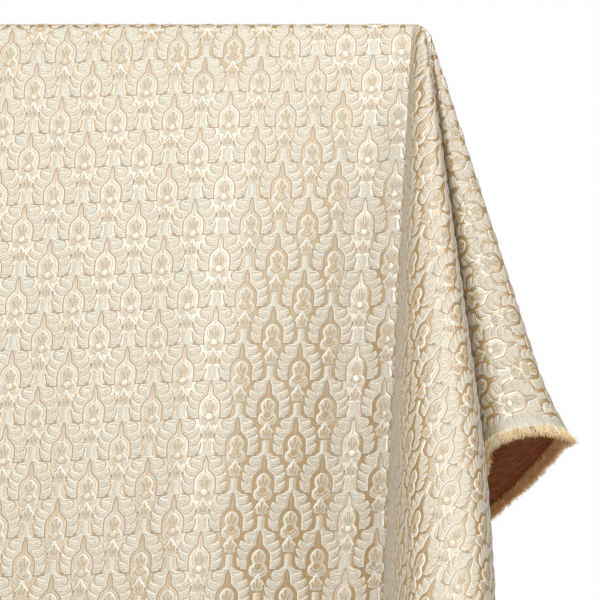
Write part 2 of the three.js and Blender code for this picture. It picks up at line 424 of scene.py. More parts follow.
class NodeLoom:
    """Works the chart out in the nodes of a shader group."""

    def __init__(self, tree):
        self.tree = tree
        self.made = 0

    def node(self, kind):
        node = self.tree.nodes.new(kind)
        node.location = (180 * (self.made // 12), -190 * (self.made % 12))
        self.made += 1
        return node

    def feed(self, socket, value):
        raw = getattr(value, "raw", value)
        if isinstance(raw, bpy.types.NodeSocket):
            self.tree.links.new(raw, socket)
        else:
            socket.default_value = raw

    def do(self, work, *values):
        node = self.node("ShaderNodeMath")
        node.operation = work
        for socket, value in zip(node.inputs, values):
            self.feed(socket, value)
        return Value(self, node.outputs[0])

    def ramp(self, value, low, high):
        node = self.node("ShaderNodeMapRange")
        node.interpolation_type = "SMOOTHSTEP"
        self.feed(node.inputs["Value"], value)
        node.inputs["From Min"].default_value = low
        node.inputs["From Max"].default_value = high
        return Value(self, node.outputs["Result"])

    def profile(self, down, rows):
        node = self.node("ShaderNodeFloatCurve")
        curve = node.mapping.curves[0]
        span = rows[-1][0]
        while len(curve.points) < len(rows):
            curve.points.new(0.5, 0.5)
        for point, (x, y) in zip(curve.points, rows):
            point.location = (x / span, y / PROFILE_WIDTH)
            point.handle_type = "AUTO_CLAMPED"
        node.mapping.update()
        self.feed(node.inputs["Value"], down / span)
        return Value(self, node.outputs["Value"]) * PROFILE_WIDTH


def smaller(a, b):
    return a.loom.do("MINIMUM", a, b)


def larger(a, b):
    return a.loom.do("MAXIMUM", a, b)


def inside_profile(across, down, rows):
    """Distance inside a profile, in millimetres, below 0 outside it."""
    loom = across.loom
    step = 0.5
    here = loom.profile(down, rows)
    above = loom.profile(larger(down - step, 0.0), rows)
    below = loom.profile(smaller(down + step, REPEAT_LENGTH), rows)
    slope = (below - above) / (2 * step)
    length = loom.do("SQRT", slope * slope + 1.0)
    return (here - across) / length


def leaf_depth(across, down, arch):
    """Distance inside the feathered leaves that curl up beside one chain, below 0 outside them."""
    loom = across.loom
    lines = smaller(leaf_lines(across, down), 3.99)
    share = lines % 1.0
    turned = larger(lines, 0.0) % 1.0
    fall = 6.2 - larger(lines - 1.5, 0.0) * 1.8
    reach = smaller(down * 0.62 + 11.4, 20.0) - turned * turned * turned * fall
    outer = reach - across
    spread = larger(across - 7.0, 0.0)
    parting = smaller(share * 8.4 - 0.1, (1.0 - share) * 8.4 - 0.15 - spread * 0.06)
    stop = down * 0.34 + 4.2 - across
    tail = larger(parting, stop)
    top = down - across * 0.1 - 0.4 + 4.75 * loom.do("EXPONENT", (2.75 - across) / 1.4)
    corner = larger(across - 16.5, 0.0)
    bottom = 34.6 - corner * corner * 0.35 - down
    leaf = smaller(smaller(outer, tail), smaller(top, bottom))
    return smaller(leaf, -arch)


def leaf_lines(across, down):
    """Count of the curved lines that part the leaves, from the top one down."""
    return (down + across * across * 0.0175 - 5.0) / 8.4


def stroke(across, down, start, end, half_width):
    """Distance inside a straight stroke between two points of the chart."""
    loom = across.loom
    dx, dy = end[0] - start[0], end[1] - start[1]
    length = math.hypot(dx, dy)
    x, y = across - start[0], down - start[1]
    along = (x * (dx / length) + y * (dy / length)) / length
    along = larger(smaller(along, 1.0), 0.0)
    gap_x, gap_y = x - along * dx, y - along * dy
    return half_width - loom.do("SQRT", gap_x * gap_x + gap_y * gap_y)


def weave_chart(loom, s, t, scale, phase):
    """The damask over flat cloth: depth inside the raised shapes, cuts into them, ribs and stem."""
    square = 1 - WARP_SLOPE * WEFT_SLOPE
    unit = 1000.0 / scale / square
    across = (s - t * WARP_SLOPE) * unit + phase[0]
    down = (s * WEFT_SLOPE - t) * unit + phase[1]
    column = loom.do("FLOOR", across / COLUMN_PITCH + 0.5)
    own = abs(across - column * COLUMN_PITCH)
    own_down = (down + (column % 2.0) * (REPEAT_LENGTH / 2)) % REPEAT_LENGTH
    next_across = COLUMN_PITCH - own
    next_down = (own_down + REPEAT_LENGTH / 2) % REPEAT_LENGTH

    chain = inside_profile(own, own_down, CHAIN_PROFILE)
    arch = inside_profile(own, own_down, ARCH_PROFILE)
    next_arch = inside_profile(next_across, next_down, ARCH_PROFILE)
    leaf = larger(leaf_depth(own, own_down, arch), leaf_depth(next_across, next_down, next_arch))

    from_dot = loom.do("SQRT", own * own + (own_down - 33.0) * (own_down - 33.0))
    dot = 2.9 - from_dot
    cup = smaller(0.45 - abs(from_dot - 5.0), own_down - 34.2)
    flame = stroke(own, own_down, (0.0, 19.5), (0.0, 26.0), 0.75)
    curl = stroke(own, own_down, (1.4, 28.6), (3.6, 23.6), 0.5)
    seed = stroke(own, own_down, (0.0, 44.5), (0.0, 51.0), 0.65)
    husk = stroke(own, own_down, (1.9, 51.5), (3.2, 47.2), 0.4)
    cuts = larger(larger(larger(dot, flame), larger(curl, seed)), larger(husk, cup))
    brow = stroke(own, own_down, (0.0, 39.9), (4.6, 46.2), 0.7)

    on_own = loom.ramp(leaf_depth(own, own_down, arch), -0.2, 0.2)
    next_lines = leaf_lines(next_across, next_down)
    lines = next_lines + (leaf_lines(own, own_down) - next_lines) * on_own
    reach = next_across + (own - next_across) * on_own
    ribs = loom.do("SINE", lines * 25.1 + loom.do("SINE", reach * 1.25) * 0.9)
    stem = loom.ramp(own_down, 54.8, 56.0)
    return chain, leaf, cuts, brow, ribs, dot, stem


def chart_scale(damask):
    """Scale of the chart, and its start across and down in millimetres."""
    return damask.repeat_length * 1000 / REPEAT_LENGTH, [1000 * p for p in damask.phase]


def puff_profile(depth, softness):
    """Padded rise from the edge of a raised shape."""
    loom = depth.loom
    return 1.0 - loom.do("EXPONENT", larger(depth, 0.0) * (-1.0 / softness))


def weave_height(chain, leaf, cuts, brow, ribs):
    """Height of the face above the satin ground, from 0 to about 1."""
    loom = chain.loom
    body = puff_profile(chain, 1.7)
    leaves = puff_profile(leaf, 1.5) * (0.75 + ribs * 0.13)
    height = larger(body, leaves)
    cut = loom.ramp(cuts, -0.5, 0.3)
    lift = loom.ramp(brow, -0.3, 0.5)
    return height * (1.0 - cut * 0.55) + lift * 0.12


# ---------------------------------------------------------------- the drape


def read_table(rows, x):
    """Smooth curve through the rows of a table, read at every x of its first column."""
    rows = np.array(rows)
    key, values = rows[:, 0], rows[:, 1:]
    span = np.diff(key)
    rise = np.diff(values, axis=0) / span[:, None]
    slope = np.empty_like(values)
    slope[0], slope[-1] = rise[0], rise[-1]
    shares = rise[:-1] * span[1:, None] + rise[1:] * span[:-1, None]
    slope[1:-1] = shares / (span[1:] + span[:-1])[:, None]
    i = np.clip(np.searchsorted(key, x, side="right") - 1, 0, len(key) - 2)
    t = np.clip((x - key[i]) / span[i], 0, 1)[:, None]
    wide = span[i][:, None]
    start = (2 * t**3 - 3 * t**2 + 1) * values[i]
    end = (3 * t**2 - 2 * t**3) * values[i + 1]
    leave = (t**3 - 2 * t**2 + t) * wide * slope[i]
    arrive = (t**3 - t**2) * wide * slope[i + 1]
    return start + end + leave + arrive


def smooth_step(x, low, high):
    t = np.clip((x - low) / (high - low), 0, 1)
    return t * t * (3 - 2 * t)


class Drape:
    """The hanging cloth as a fan of straight lines that start on the table's edges."""

    def __init__(self, drape, corner_angles, front, side, trim):
        self.drape = drape
        self.trim = trim
        front_x = -drape.laid_width * (1 - front)
        back_y = drape.laid_depth * side
        self.foot_x = np.concatenate([front_x, np.zeros(len(corner_angles) + len(side))])
        self.foot_y = np.concatenate([np.zeros(len(front) + len(corner_angles)), back_y])
        lean = math.degrees(math.atan(WEFT_SLOPE)) * side
        start = np.full(len(front), CORNER_LINES[0][0])
        self.angle = np.concatenate([start, corner_angles, 90 + lean])
        front_rows = np.tile((-WARP_SLOPE, FRONT_OUTWARD, EDGE_BEND), (len(front), 1))
        corner_rows = read_table(CORNER_LINES, corner_angles)
        side_rows = read_table(SIDE_LINES, back_y)
        rows = np.concatenate([front_rows, corner_rows, side_rows])
        turn = np.radians(self.angle)
        self.flat = np.stack([np.sin(turn), -np.cos(turn)], axis=1)
        self.leave = np.column_stack([self.flat, np.zeros(len(turn))])
        fall = np.column_stack([rows[:, 0], -rows[:, 1], -np.ones(len(rows))])
        self.fall = fall / np.linalg.norm(fall, axis=1)[:, None]
        self.bend = rows[:, 2]
        dots = np.clip((self.leave * self.fall).sum(axis=1), -1, 1)
        self.turn = np.arccos(dots)
        self.length = self.length_to_hem()

    def side_hem(self, t):
        """How far the fringe's end lies from the table's edge, along the flat cloth."""
        tip = TIP_DROP * np.exp(-((t / TIP_DROP_WIDTH) ** 2))
        return self.drape.side_drop + tip + BACK_DROP * np.maximum(t, 0) ** 2

    def length_to_hem(self):
        foot_x, foot_y = self.foot_x, self.foot_y
        sx, sy = self.flat.T
        drop = WEFT_SLOPE * sx - sy
        far = np.full(len(sx), 10.0)
        front = np.where(
            drop > 0.01,
            (self.drape.front_drop + foot_y - WEFT_SLOPE * foot_x) / np.maximum(drop, 0.01),
            far,
        )
        run = sx - WARP_SLOPE * sy
        on_side = (run > 0.01) & (foot_x >= 0)
        run = np.maximum(run, 0.01)
        side = np.where(on_side, self.drape.side_drop / run, far)
        for _ in range(4):
            t = foot_y + np.minimum(front, side) * sy
            reach = self.side_hem(t) - self.trim + WARP_SLOPE * foot_y - foot_x
            side = np.where(on_side, reach / run, far)
        self.on_side = side < front
        return np.minimum(front, side)

    def points(self, r):
        """Points of the middle of the cloth, r along each line; r has one row for each line."""
        turned = np.minimum(r / self.bend[:, None], self.turn[:, None])
        sine = np.sin(self.turn)[:, None]
        bend = self.bend[:, None] / sine
        full = self.turn[:, None]
        along = bend * (np.cos(full - turned) - np.cos(full))
        past = np.maximum(r - self.bend[:, None] * full, 0)
        down = bend * (1 - np.cos(turned)) + past
        p = np.zeros(r.shape + (3,))
        p[..., 0] = self.foot_x[:, None]
        p[..., 1] = self.foot_y[:, None]
        p += along[..., None] * self.leave[:, None, :]
        p += down[..., None] * self.fall[:, None, :]
        self.swell_front(p, r)
        self.draw_fold(p, r)
        self.kick_flare(p, r)
        return p

    def swell_front(self, p, r):
        fade = smooth_step(-self.foot_x, 0, SWELL_FADE)[:, None]
        growth = (r / self.drape.front_drop) ** SWELL_GROWTH * smooth_step(r, 0, SWELL_START)
        for left, half_width, depth in FRONT_SWELLS:
            offset = (-self.foot_x - left)[:, None] / half_width
            p[..., 1] -= fade * growth * depth * np.exp(-(offset**2))

    def draw_fold(self, p, r):
        low, high = FOLD_DRAW_SPAN
        share = np.clip((self.angle - low) / (high - low), 0, 1)
        inside = np.sqrt(np.maximum(np.sin(np.pi * share), 0))[:, None]
        p[..., 0] -= inside * FOLD_DRAW * np.maximum(r - FOLD_DRAW_START, 0) ** 2

    def kick_flare(self, p, r):
        kick = np.clip((r - FLARE_KICK_START) / FLARE_KICK_LENGTH, 0, 1)
        flare = smooth_step(self.angle, 80, 90) * smooth_step(self.fall[:, 0], 0.12, 0.28)
        p[..., 0] += FLARE_KICK * flare[:, None] * kick**2

    def flat_points(self, r):
        """Where the same points lie in the flat cloth."""
        s = self.foot_x[:, None] + r * self.flat[:, :1]
        t = self.foot_y[:, None] + r * self.flat[:, 1:]
        return np.stack([s, t], axis=-1)


def corner_point():
    """The point of the table top that the drape is measured from."""
    low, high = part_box(BOARD_NODE)
    return np.array(
        [high[0] - FOOT_INSET, low[1] + FOOT_INSET, high[2] + CLOTH_MIDDLE_ABOVE_TABLE]
    )


def quads_of(grid):
    """Quads between neighbouring columns and rows of a grid of point numbers."""
    a, b = grid[:-1, :-1], grid[:-1, 1:]
    c, d = grid[1:, 1:], grid[1:, :-1]
    return np.stack([a, b, c, d], axis=-1).reshape(-1, 4)


def tidy_faces(quads):
    """Faces without repeated corners: quads, and triangles at the corner of the table."""
    faces = []
    for quad in quads.tolist():
        face = [v for k, v in enumerate(quad) if v != quad[k - 1]]
        if len(set(face)) > 2:
            faces.append(face)
    return faces


def face_normals(points, faces):
    """Normals at the points, weighted by the area of the faces round them."""
    normals = np.zeros_like(points)
    for corners in (3, 4):
        group = np.array([f for f in faces if len(f) == corners]).reshape(-1, corners)
        for k in range(1, corners - 1):
            tri = group[:, [0, k, k + 1]]
            cross = np.cross(points[tri[:, 1]] - points[tri[:, 0]], points[tri[:, 2]] - points[tri[:, 0]])
            for n in range(3):
                np.add.at(normals, tri[:, n], cross)
    return normals / np.maximum(np.linalg.norm(normals, axis=1), 1e-12)[:, None]


class ClothGrid:
    """The whole cloth as one mesh of points: the part that hangs and the part that lies on the table."""

    def __init__(self, drape, fringe_length):
        angles = [np.linspace(a, b, n, endpoint=False) for a, b, n in CORNER_COLUMNS]
        angles = np.concatenate(angles)
        front = np.arange(FRONT_COLUMNS) / FRONT_COLUMNS
        side = (np.arange(SIDE_COLUMNS + 1) / SIDE_COLUMNS) ** 1.3
        self.lines = Drape(drape, angles, front, side, fringe_length)
        count = len(self.lines.angle)
        share = np.linspace(0, 1, DROP_ROWS + 1)
        r = self.lines.length[:, None] * share[None, :]
        hanging = self.lines.points(r)
        flat = self.lines.flat_points(r)
        number = np.arange(count * (DROP_ROWS + 1)).reshape(count, DROP_ROWS + 1)
        first_corner = FRONT_COLUMNS
        last_corner = count - SIDE_COLUMNS - 1
        number[first_corner : last_corner + 1, 0] = number[first_corner, 0]
        across = np.arange(FRONT_COLUMNS + 1) / FRONT_COLUMNS
        back = drape.laid_depth * side
        left = -drape.laid_width + WARP_SLOPE * back
        x = left[None, :] * (1 - across[:, None])
        y = back[None, :] + WEFT_SLOPE * x * (back / drape.laid_depth)[None, :]
        laid = np.stack([x, y, np.zeros_like(x)], axis=-1)
        start = number.size
        laid_number = start + np.arange(x.size).reshape(x.shape)
        laid_number[:, 0] = np.append(number[:FRONT_COLUMNS, 0], number[first_corner, 0])
        laid_number[-1, :] = number[last_corner:, 0]
        self.points = np.concatenate([hanging.reshape(-1, 3), laid.reshape(-1, 3)])
        self.flat = np.concatenate([flat.reshape(-1, 2), laid[..., :2].reshape(-1, 2)])
        self.hanging = number
        self.laid = laid_number[:, ::-1]
        angle = np.repeat(self.lines.angle, DROP_ROWS + 1)
        self.angle = np.concatenate([angle, np.full(x.size, 200.0)])
        self.radius = np.concatenate([r.ravel(), np.hypot(x, y).ravel()])
        self.faces = tidy_faces(np.concatenate([quads_of(self.hanging), quads_of(self.laid)]))
        self.normals = face_normals(self.points, self.faces)

    def coarse_faces(self):
        """The same cloth with every second column and row."""
        hanging = quads_of(self.hanging[::2, ::2])
        laid = quads_of(self.laid[::2, ::2])
        return tidy_faces(np.concatenate([hanging, laid]))

    def rim(self):
        """Point numbers round the edge of the cloth, in order, starting at a coarse point."""
        down_left = self.hanging[0]
        hem = self.hanging[:, -1]
        up_back = self.hanging[-1, ::-1]
        back_edge = self.laid[::-1, 0]
        left_edge = self.laid[0, :]
        loop = [down_left[:-1], hem[:-1], up_back[:-1], back_edge[:-1], left_edge[:-1]]
        return np.concatenate(loop)


def relief_share(grid):
    """How much of the relief stays: less at the table's corner and in the closed pleat."""
    near = smooth_step(grid.radius, 0.010, 0.055)
    on_corner = (grid.angle > -3.2) & (grid.angle < 89.9)
    near = np.where(on_corner, near, 1.0)
    into = smooth_step(grid.angle, 40, 46)
    out = smooth_step(grid.angle, 66, 72)
    pleat = np.where(grid.angle < 150, into * (1 - out), 0)
    return near * (1 - 0.75 * pleat)


def edge_distances(grid):
    """Distance of each point to the end of the fringe and to the cut end, in metres."""
    s, t = grid.flat.T
    side = grid.lines.side_hem(t) - (s - WARP_SLOPE * t)
    cut = grid.lines.drape.front_drop + t - WEFT_SLOPE * s
    return side, cut


def mesh_relief(grid, damask):
    """Height of the face at the mesh's points, evened out over a few points round each."""
    loom = ArrayLoom()
    total = 0
    spots = ((0, 0), (0.0012, 0.0005), (-0.0012, -0.0005), (0.0005, -0.0012), (-0.0005, 0.0012))
    for right, up in spots:
        s, t = Value(loom, grid.flat[:, 0] + right), Value(loom, grid.flat[:, 1] + up)
        total = total + weave_height(*weave_chart(loom, s, t, *chart_scale(damask))[:5]).raw
    return total / len(spots)


def without_loose_points(faces, count):
    """The points that faces use, and the faces numbered by them."""
    kept = sorted({v for f in faces for v in f})
    renumber = np.full(count, -1)
    renumber[kept] = np.arange(len(kept))
    return kept, [[int(renumber[v]) for v in f] for f in faces]


def build_sheet(grid, drape, damask):
    height = mesh_relief(grid, damask)
    side, cut = edge_distances(grid)
    fade = smooth_step(side, 0.019, 0.026)
    height = 0.25 + (height - 0.25) * fade
    rise = drape.ground_height + drape.puff_height * height * relief_share(grid)
    face = grid.points + grid.normals * rise[:, None]
    back = grid.points - grid.normals * drape.reverse_depth
    coarse = grid.coarse_faces()
    count = len(face)
    used = sorted({v for f in coarse for v in f})
    renumber = np.full(count, -1)
    renumber[used] = count + np.arange(len(used))
    points = np.concatenate([face, back[used]]) + corner_point()
    normals = np.concatenate([grid.normals, -grid.normals[used]])
    faces = list(grid.faces)
    slots = [0] * len(faces)
    for f in coarse:
        faces.append([int(renumber[v]) for v in reversed(f)])
        slots.append(1)
    loop = grid.rim()
    for k in range(0, len(loop), 2):
        a, b, c = loop[k], loop[k + 1], loop[(k + 2) % len(loop)]
        p, q = int(renumber[a]), int(renumber[c])
        for tri in ([b, a, p], [b, p, q], [b, q, c]):
            faces.append([int(v) for v in tri])
            slots.append(2)
    origin = np.concatenate([np.arange(count), used])
    kept, faces = without_loose_points(faces, len(points))
    points, normals, origin = points[kept], normals[kept], origin[kept]
    mesh = bpy.data.meshes.new(CLOTH_NAME)
    mesh.from_pydata(points.tolist(), [], faces)
    vertex = np.empty(len(mesh.loops), dtype=np.int32)
    mesh.loops.foreach_get("vertex_index", vertex)
    flat_uv = grid.flat[origin[vertex]]
    edge_uv = np.stack([side, cut], axis=1)[origin[vertex]]
    for name, values in ((FLAT_UV, flat_uv), (EDGE_UV, edge_uv)):
        layer = mesh.uv_layers.new(name=name)
        layer.data.foreach_set("uv", values.astype(np.float32).ravel())
    mesh.polygons.foreach_set("material_index", slots)
    mesh.polygons.foreach_set("use_smooth", [True] * len(slots))
    mesh.update()
    mesh.normals_split_custom_set_from_vertices(normals.tolist())
    return mesh


def add_piece(name, mesh):
    piece = bpy.data.objects.new(name, mesh)
    bpy.context.collection.objects.link(piece)
    return piece


# ---------------------------------------------------------------- shader groups and materials


def new_group(name, inputs, outputs):
    tree = bpy.data.node_groups.new(name, "ShaderNodeTree")
    for kind, label, default in inputs:
        socket = tree.interface.new_socket(label, in_out="INPUT", socket_type=kind)
        if default is not None:
            socket.default_value = default
    for kind, label in outputs:
        tree.interface.new_socket(label, in_out="OUTPUT", socket_type=kind)
    source = tree.nodes.new("NodeGroupInput")
    result = tree.nodes.new("NodeGroupOutput")
    source.location = (-300, 0)
    result.location = (4200, 0)
    return tree, source, result


def groove_shade_line(depth):
    """Painted shade: a thin dark line just outside the edge of a raised shape, where the groove beside it
    lies in shadow.
    """
    loom = depth.loom
    return loom.ramp(depth, -1.5, -0.8) * (1.0 - loom.ramp(depth, -0.2, 0.2))


def chart_group(damask):
    """Masks and heights of the damask, from the flat cloth's coordinates."""
    labels = ("Raised", "Rim", "Inner", "Leaf", "Ribs", "Cuts", "Dot", "Seam", "Height")
    outputs = [("NodeSocketFloat", label) for label in labels]
    tree, source, result = new_group("Damask chart", [("NodeSocketVector", "Flat", None)], outputs)
    loom = NodeLoom(tree)
    split = loom.node("ShaderNodeSeparateXYZ")
    tree.links.new(source.outputs["Flat"], split.inputs[0])
    s, t = Value(loom, split.outputs["X"]), Value(loom, split.outputs["Y"])
    chain, leaf, cuts, brow, ribs, dot, stem = weave_chart(loom, s, t, *chart_scale(damask))
    raised = larger(chain, leaf)
    # Rim: the ivory outline just inside the chain and the leaves, partly yarn and partly a painted
    # highlight on their rounded edges.
    rim = loom.ramp(chain, -0.2, 0.3) * (1.0 - loom.ramp(chain, 0.5, 1.1)) * (1.0 - stem * 0.5)
    leaf_rim = loom.ramp(leaf, -0.1, 0.3) * (1.0 - loom.ramp(leaf, 0.4, 1.0)) * 0.75
    found = {
        "Raised": loom.ramp(raised, -0.35, 0.3),
        "Rim": larger(larger(rim, leaf_rim), loom.ramp(brow, -0.2, 0.3)),
        "Inner": loom.ramp(chain, 1.1, 1.9) * (1.0 - stem),
        "Leaf": loom.ramp(leaf, -0.1, 0.4),
        "Ribs": ribs * 0.5 + 0.5,
        "Cuts": loom.ramp(cuts, -0.4, 0.3),
        "Dot": loom.ramp(dot, -0.3, 0.3),
        # Painted shade in the grooves round the leaves and, fainter, round the chain.
        "Seam": larger(groove_shade_line(leaf), groove_shade_line(chain) * 0.4),
        "Height": weave_height(chain, leaf, cuts, brow, ribs),
    }
    for label, value in found.items():
        tree.links.new(value.raw, result.inputs[label])
    return tree


def material_of(name):
    material = bpy.data.materials.new(name)
    material.use_nodes = True
    tree = material.node_tree
    shader = tree.nodes["Principled BSDF"]
    return material, tree, shader


class Bench:
    """Small helper that adds and links nodes in one material."""

    def __init__(self, tree):
        self.tree = tree
        self.made = 0

    def node(self, kind, **fields):
        node = self.tree.nodes.new(kind)
        node.location = (-1800 + 200 * (self.made // 6), 600 - 220 * (self.made % 6))
        self.made += 1
        for name, value in fields.items():
            setattr(node, name, value)
        return node

    def link(self, output, socket):
        self.tree.links.new(output, socket)

    def put(self, socket, value):
        if isinstance(value, bpy.types.NodeSocket):
            self.link(value, socket)
        else:
            socket.default_value = value

    def mix(self, share, first, second):
        node = self.node("ShaderNodeMix", data_type="RGBA")
        for name, value in (("Factor", share), ("A", first), ("B", second)):
            sockets = [x for x in node.inputs if x.name == name]
            socket = sockets[0] if name == "Factor" else sockets[-1]
            if name != "Factor":
                socket = next(x for x in sockets if x.type == "RGBA")
            if not isinstance(value, (float, int, bpy.types.NodeSocket)) and len(value) == 3:
                value = (*value, 1.0)
            self.put(socket, value)
        return next(x for x in node.outputs if x.type == "RGBA")

    def sum(self, work, first, second=0.0, clamp=False):
        node = self.node("ShaderNodeMath", operation=work, use_clamp=clamp)
        self.put(node.inputs[0], first)
        self.put(node.inputs[1], second)
        return node.outputs[0]

    def span(self, value, low, high, to_low=0.0, to_high=1.0):
        node = self.node("ShaderNodeMapRange", interpolation_type="SMOOTHSTEP")
        self.put(node.inputs["Value"], value)
        node.inputs["From Min"].default_value = low
        node.inputs["From Max"].default_value = high
        node.inputs["To Min"].default_value = to_low
        node.inputs["To Max"].default_value = to_high
        return node.outputs["Result"]

    def uv(self, name):
        node = self.node("ShaderNodeUVMap", uv_map=name)
        return node.outputs["UV"]

    def scaled(self, vector, scale):
        node = self.node("ShaderNodeMapping")
        self.link(vector, node.inputs["Vector"])
        node.inputs["Scale"].default_value = scale
        return node.outputs["Vector"]

    def noise(self, vector, scale, detail=2.0, roughness=0.5):
        node = self.node("ShaderNodeTexNoise")
        self.link(vector, node.inputs["Vector"])
        node.inputs["Scale"].default_value = scale
        node.inputs["Detail"].default_value = detail
        node.inputs["Roughness"].default_value = roughness
        return node.outputs["Fac"]

    def bump(self, height, distance, strength=1.0, under=None):
        node = self.node("ShaderNodeBump")
        self.link(height, node.inputs["Height"])
        node.inputs["Distance"].default_value = distance
        node.inputs["Strength"].default_value = strength
        if under is not None:
            self.link(under, node.inputs["Normal"])
        return node.outputs["Normal"]


def weave_group():
    """Fine yarn texture, at about two yarns a millimetre, as a height."""
    tree, source, result = new_group(
        "Fine yarn",
        [("NodeSocketVector", "Flat", None), ("NodeSocketFloat", "Rib", 0.5)],
        [("NodeSocketFloat", "Height"), ("NodeSocketFloat", "Tone")],
    )
    bench = Bench(tree)
    split = bench.node("ShaderNodeSeparateXYZ")
    bench.link(source.outputs["Flat"], split.inputs[0])
    wobble = bench.noise(source.outputs["Flat"], 900.0, 2.0)
    across = bench.sum("MULTIPLY", split.outputs["X"], 2 * math.pi / 0.00062)
    down = bench.sum("MULTIPLY", split.outputs["Y"], 2 * math.pi / 0.00048)
    down = bench.sum("ADD", down, bench.sum("MULTIPLY", wobble, 3.0))
    picks = bench.sum("SINE", down)
    ends = bench.sum("SINE", across)
    mixed = bench.sum("MULTIPLY", picks, source.outputs["Rib"])
    height = bench.sum("ADD", mixed, bench.sum("MULTIPLY", ends, 0.25))
    tone = bench.noise(bench.scaled(source.outputs["Flat"], (500.0, 2200.0, 1.0)), 1.0, 3.0, 0.6)
    bench.link(height, result.inputs["Height"])
    bench.link(tone, result.inputs["Tone"])
    return tree


def use_group(bench, tree, **values):
    node = bench.node("ShaderNodeGroup")
    node.node_tree = tree
    for name, value in values.items():
        bench.put(node.inputs[name], value)
    return node


def shades(colour, low, high):
    """A darker and a lighter shade of one colour."""
    return [c * low for c in colour], [min(1.0, c * high) for c in colour]


def face_material(damask, chart, yarn):
    material, tree, shader = material_of("Damask face")
    bench = Bench(tree)
    flat = bench.uv(FLAT_UV)
    edges = bench.node("ShaderNodeSeparateXYZ")
    bench.link(bench.uv(EDGE_UV), edges.inputs[0])
    pattern = use_group(bench, chart, Flat=flat)
    threads = use_group(bench, yarn, Flat=flat, Rib=0.8)
    ragged = bench.sum("MULTIPLY", bench.noise(flat, 240.0, 2.0), 0.009)
    body = bench.span(bench.sum("SUBTRACT", edges.outputs["X"], ragged), 0.0110, 0.0185)
    dashes = bench.noise(bench.scaled(flat, (1000.0, 620.0, 1.0)), 1.0, 2.0, 0.6)
    speckle = bench.span(dashes, 0.40, 0.60)
    grains = bench.span(bench.noise(flat, 800.0, 2.0), 0.38, 0.62)

    cream = bench.mix(grains, *shades(damask.cream, 0.76, 1.20))
    ribs = bench.span(pattern.outputs["Ribs"], 0.25, 0.75)
    ribs = bench.sum("SUBTRACT", ribs, bench.sum("MULTIPLY", speckle, 0.6), True)
    shade = bench.sum("MULTIPLY", pattern.outputs["Leaf"], ribs)
    cream = bench.mix(bench.sum("MULTIPLY", shade, 0.75), cream, damask.satin)
    streak = bench.span(bench.sum("ADD", pattern.outputs["Ribs"], speckle), 0.25, 0.75, 0.55, 0.0)
    cream = bench.mix(bench.sum("MULTIPLY", pattern.outputs["Leaf"], streak), cream, damask.ivory)
    inner = bench.sum("MULTIPLY", pattern.outputs["Inner"], bench.span(speckle, 0.0, 1.0, 0.42, 0.15))
    cream = bench.mix(inner, cream, damask.satin)
    cream = bench.mix(bench.sum("MULTIPLY", pattern.outputs["Cuts"], 0.95), cream, damask.satin)
    # Ivory rims: partly the yarn outline, partly a painted highlight on the rounded edges of the puffs.
    cream = bench.mix(pattern.outputs["Rim"], cream, damask.ivory)
    satin = bench.mix(grains, *shades(damask.satin, 0.80, 1.14))
    colour = bench.mix(pattern.outputs["Raised"], satin, cream)
    # Painted shade: darken the grooves just outside the raised shapes.
    colour = bench.mix(pattern.outputs["Seam"], colour, damask.seam)
    creases = bench.noise(bench.scaled(flat, (60.0, 420.0, 1.0)), 1.0, 3.0, 0.6)
    band = bench.mix(bench.span(creases, 0.34, 0.62), *shades(damask.selvedge, 0.74, 1.06))
    colour = bench.mix(body, band, colour)
    bench.link(colour, shader.inputs["Base Color"])

    glossy = bench.sum("SUBTRACT", 1.0, pattern.outputs["Raised"])
    glossy = bench.sum("MAXIMUM", glossy, bench.sum("MULTIPLY", pattern.outputs["Cuts"], 0.6))
    glossy = bench.sum("MAXIMUM", glossy, pattern.outputs["Dot"])
    glossy = bench.sum("SUBTRACT", glossy, pattern.outputs["Seam"], True)
    glossy = bench.sum("MULTIPLY", glossy, body)
    bench.link(bench.span(glossy, 0.0, 1.0, 0.52, 0.25), shader.inputs["Roughness"])
    shader.inputs["IOR"].default_value = 2.5
    shader.inputs["Specular Tint"].default_value = (0.88, 0.98, 1.0, 1.0)
    shader.inputs["Sheen Weight"].default_value = 0.12
    shader.inputs["Sheen Roughness"].default_value = 0.4

    height = bench.sum("MULTIPLY", pattern.outputs["Height"], body)
    puff = bench.bump(height, 0.0015, 0.6)
    fine = bench.bump(threads.outputs["Height"], 0.000005, 1.0, puff)
    bench.link(fine, shader.inputs["Normal"])
    return material


